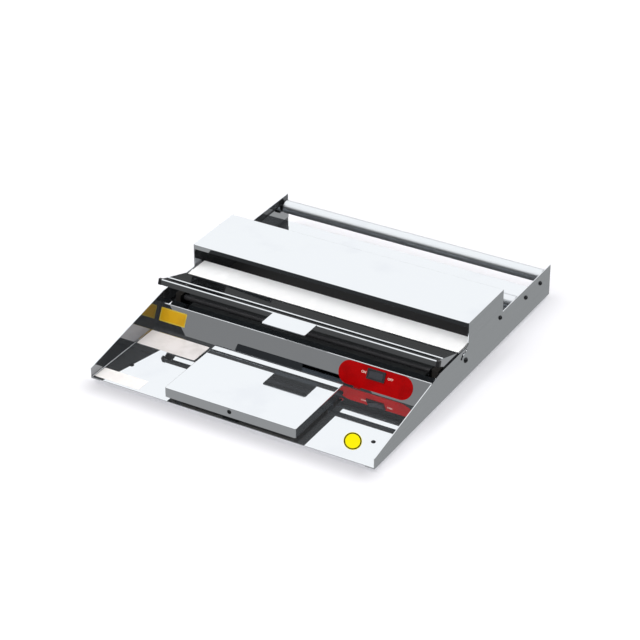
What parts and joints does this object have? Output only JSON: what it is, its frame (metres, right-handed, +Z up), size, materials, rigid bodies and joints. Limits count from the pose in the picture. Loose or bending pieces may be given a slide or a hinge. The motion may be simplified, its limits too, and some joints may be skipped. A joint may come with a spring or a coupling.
{
  "type": "film wrapping machine",
  "caption": "Low steel tabletop machine for wrapping trays in film: hot plate in a front tray, leaning switch panel, hinged film flap, cover shelf and open rollers at the back.",
  "frame": {"origin": "middle of the footprint, on the surface that the feet stand on", "axes": "+X to the right as the user faces it, +Y from the front tray to the film roll, +Z up"},
  "size_m": [0.491, 0.574, 0.099],
  "materials": {
    "sheet_steel": "polished stainless sheet",
    "plate_steel": "polished stainless pan",
    "deck_steel": "bright stainless sheet",
    "flap_steel": "polished stainless sheet",
    "trough_coat": "dark non-stick coating",
    "roller_steel": "bright drawn tube",
    "hardware_steel": "bright turned steel",
    "bracket_steel": "bright stamped steel",
    "label_red": "printed film",
    "switch_black": "moulded",
    "rocker_black": "moulded, smooth",
    "foot_rubber": "moulded",
    "ceramic": "fired ceramic",
    "mica": "pressed mica sheet",
    "wool": "mineral wool pad",
    "bush_nylon": "moulded nylon",
    "block_plastic": "moulded",
    "lead_rubber": "insulated lead"
  },
  "bodies": {
    "housing": {"base_plate": "sheet_steel", "left_side_panel": "sheet_steel", "right_side_panel": "sheet_steel", "control_panel": "sheet_steel", "cover_shelf": "sheet_steel", "hot_plate": "plate_steel", "deck_plate": "deck_steel", "cutter_trough": "trough_coat", "flap_pivot_pins": "hardware_steel", "side_screws": "hardware_steel", "foot_screws": "hardware_steel", "foot_nuts": "hardware_steel", "plate_screw": "hardware_steel", "clamp_studs": "hardware_steel", "cutter_rod": "hardware_steel", "cutter_brackets": "bracket_steel", "plate_bracket": "bracket_steel", "heater_clamp": "bracket_steel", "left_roller_bracket": "bracket_steel", "right_roller_bracket": "bracket_steel", "rear_roller_shaft": "hardware_steel", "front_roller_shaft": "hardware_steel", "guide_bar": "roller_steel", "switch_label": "label_red", "switch_housing": "switch_black", "power_inlet": "switch_black", "terminal_block": "block_plastic", "leads": "lead_rubber", "rubber_feet": "foot_rubber", "cutter_insulators": "ceramic", "plate_standoffs": "ceramic", "plate_heater": "mica", "plate_insulation": "wool", "plate_thermostat": "block_plastic"},
    "flap": {"flap_plate": "flap_steel", "stop_pins": "hardware_steel"},
    "rear_roller": {"rear_roller": "roller_steel", "rear_roller_bushes": "bush_nylon"},
    "front_roller": {"front_roller": "roller_steel", "front_roller_bushes": "bush_nylon"},
    "rocker": {"switch_rocker": "rocker_black"}
  },
  "joints": [
    {"name": "flap_hinge", "type": "hinge", "parent": "housing", "child": "flap", "pos_m": [0, -0.007, 0.0385], "axis": [-1, 0, 0], "range_deg": [0, 58]},
    {"name": "rear_roller_spin", "type": "hinge", "parent": "housing", "child": "rear_roller", "pos_m": [0, 0.273, 0.0435], "axis": [1, 0, 0], "continuous": true},
    {"name": "front_roller_spin", "type": "hinge", "parent": "housing", "child": "front_roller", "pos_m": [0, 0.175, 0.0435], "axis": [1, 0, 0], "continuous": true},
    {"name": "switch_rock", "type": "hinge", "parent": "housing", "child": "rocker", "pos_m": [0.1445, -0.1033, 0.03276], "axis": [0, -0.4384, -0.8988], "range_deg": [0, 16]}
  ]
}
